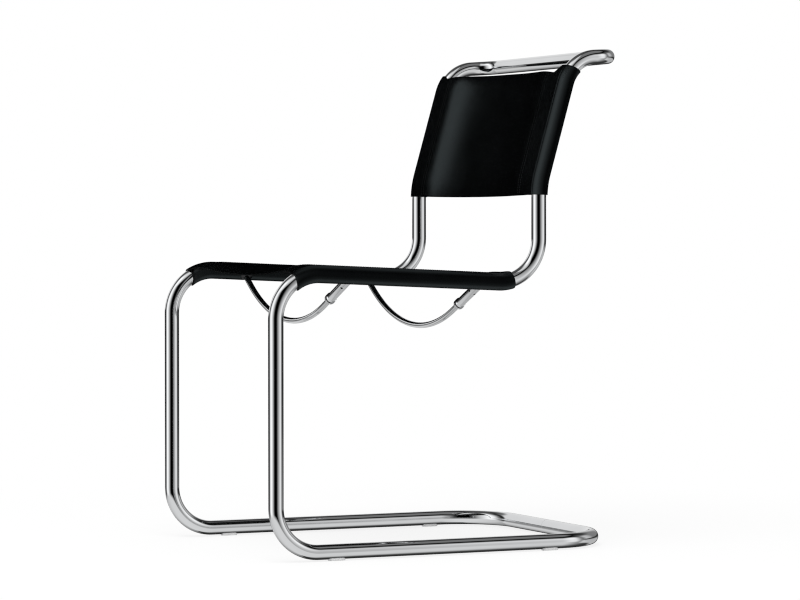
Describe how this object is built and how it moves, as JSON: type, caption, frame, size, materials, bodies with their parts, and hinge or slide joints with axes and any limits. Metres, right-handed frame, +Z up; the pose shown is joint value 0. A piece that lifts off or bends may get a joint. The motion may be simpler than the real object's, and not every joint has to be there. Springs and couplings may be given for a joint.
{
  "type": "cantilever dining chair",
  "caption": "Cantilever chair: bent chromed tube frame, black leather seat and back slings, and bowed spreaders with turning tension sleeves under the seat.",
  "frame": {"origin": "on the floor, in the middle of the chair's outline", "axes": "+X towards the sitter's left, -Y the way the sitter faces, +Z up"},
  "size_m": [0.505, 0.648, 0.844],
  "materials": {
    "chromed_tube": "mirror-bright chrome plating on bent steel tube",
    "chromed_rod": "chrome plating on bent steel rod",
    "sleeve_metal": "satin chrome on turned steel",
    "plain_steel": "plain turned steel",
    "glide_nylon": "natural nylon",
    "bush_nylon": "black nylon",
    "seat_hide": "black saddle leather, smooth, half gloss",
    "back_hide": "black saddle leather, smooth, half gloss"
  },
  "bodies": {
    "frame": {"frame_tube": "chromed_tube", "joining_spigot": "plain_steel", "joint_screws": "plain_steel", "front_left_glide": "glide_nylon", "front_right_glide": "glide_nylon", "rear_left_glide": "glide_nylon", "rear_right_glide": "glide_nylon", "front_sleeve_bush": "bush_nylon", "front_rod_bush": "bush_nylon", "rear_sleeve_bush": "bush_nylon", "rear_rod_bush": "bush_nylon", "front_spreader_rod": "chromed_rod", "rear_spreader_rod": "chromed_rod", "seat_leather": "seat_hide", "back_leather": "back_hide"},
    "front_sleeve": {"front_tension_sleeve": "sleeve_metal"},
    "rear_sleeve": {"rear_tension_sleeve": "sleeve_metal"}
  },
  "joints": [
    {"name": "front_sleeve_turn", "type": "hinge", "parent": "frame", "child": "front_sleeve", "pos_m": [0.2375, -0.1765, 0.46365], "axis": [-0.9135, 0, -0.4067], "range_deg": [-765, 225]},
    {"name": "rear_sleeve_turn", "type": "hinge", "parent": "frame", "child": "rear_sleeve", "pos_m": [0.2375, 0.0603, 0.45252], "axis": [-0.9135, 0, -0.4067], "range_deg": [-765, 225]}
  ]
}
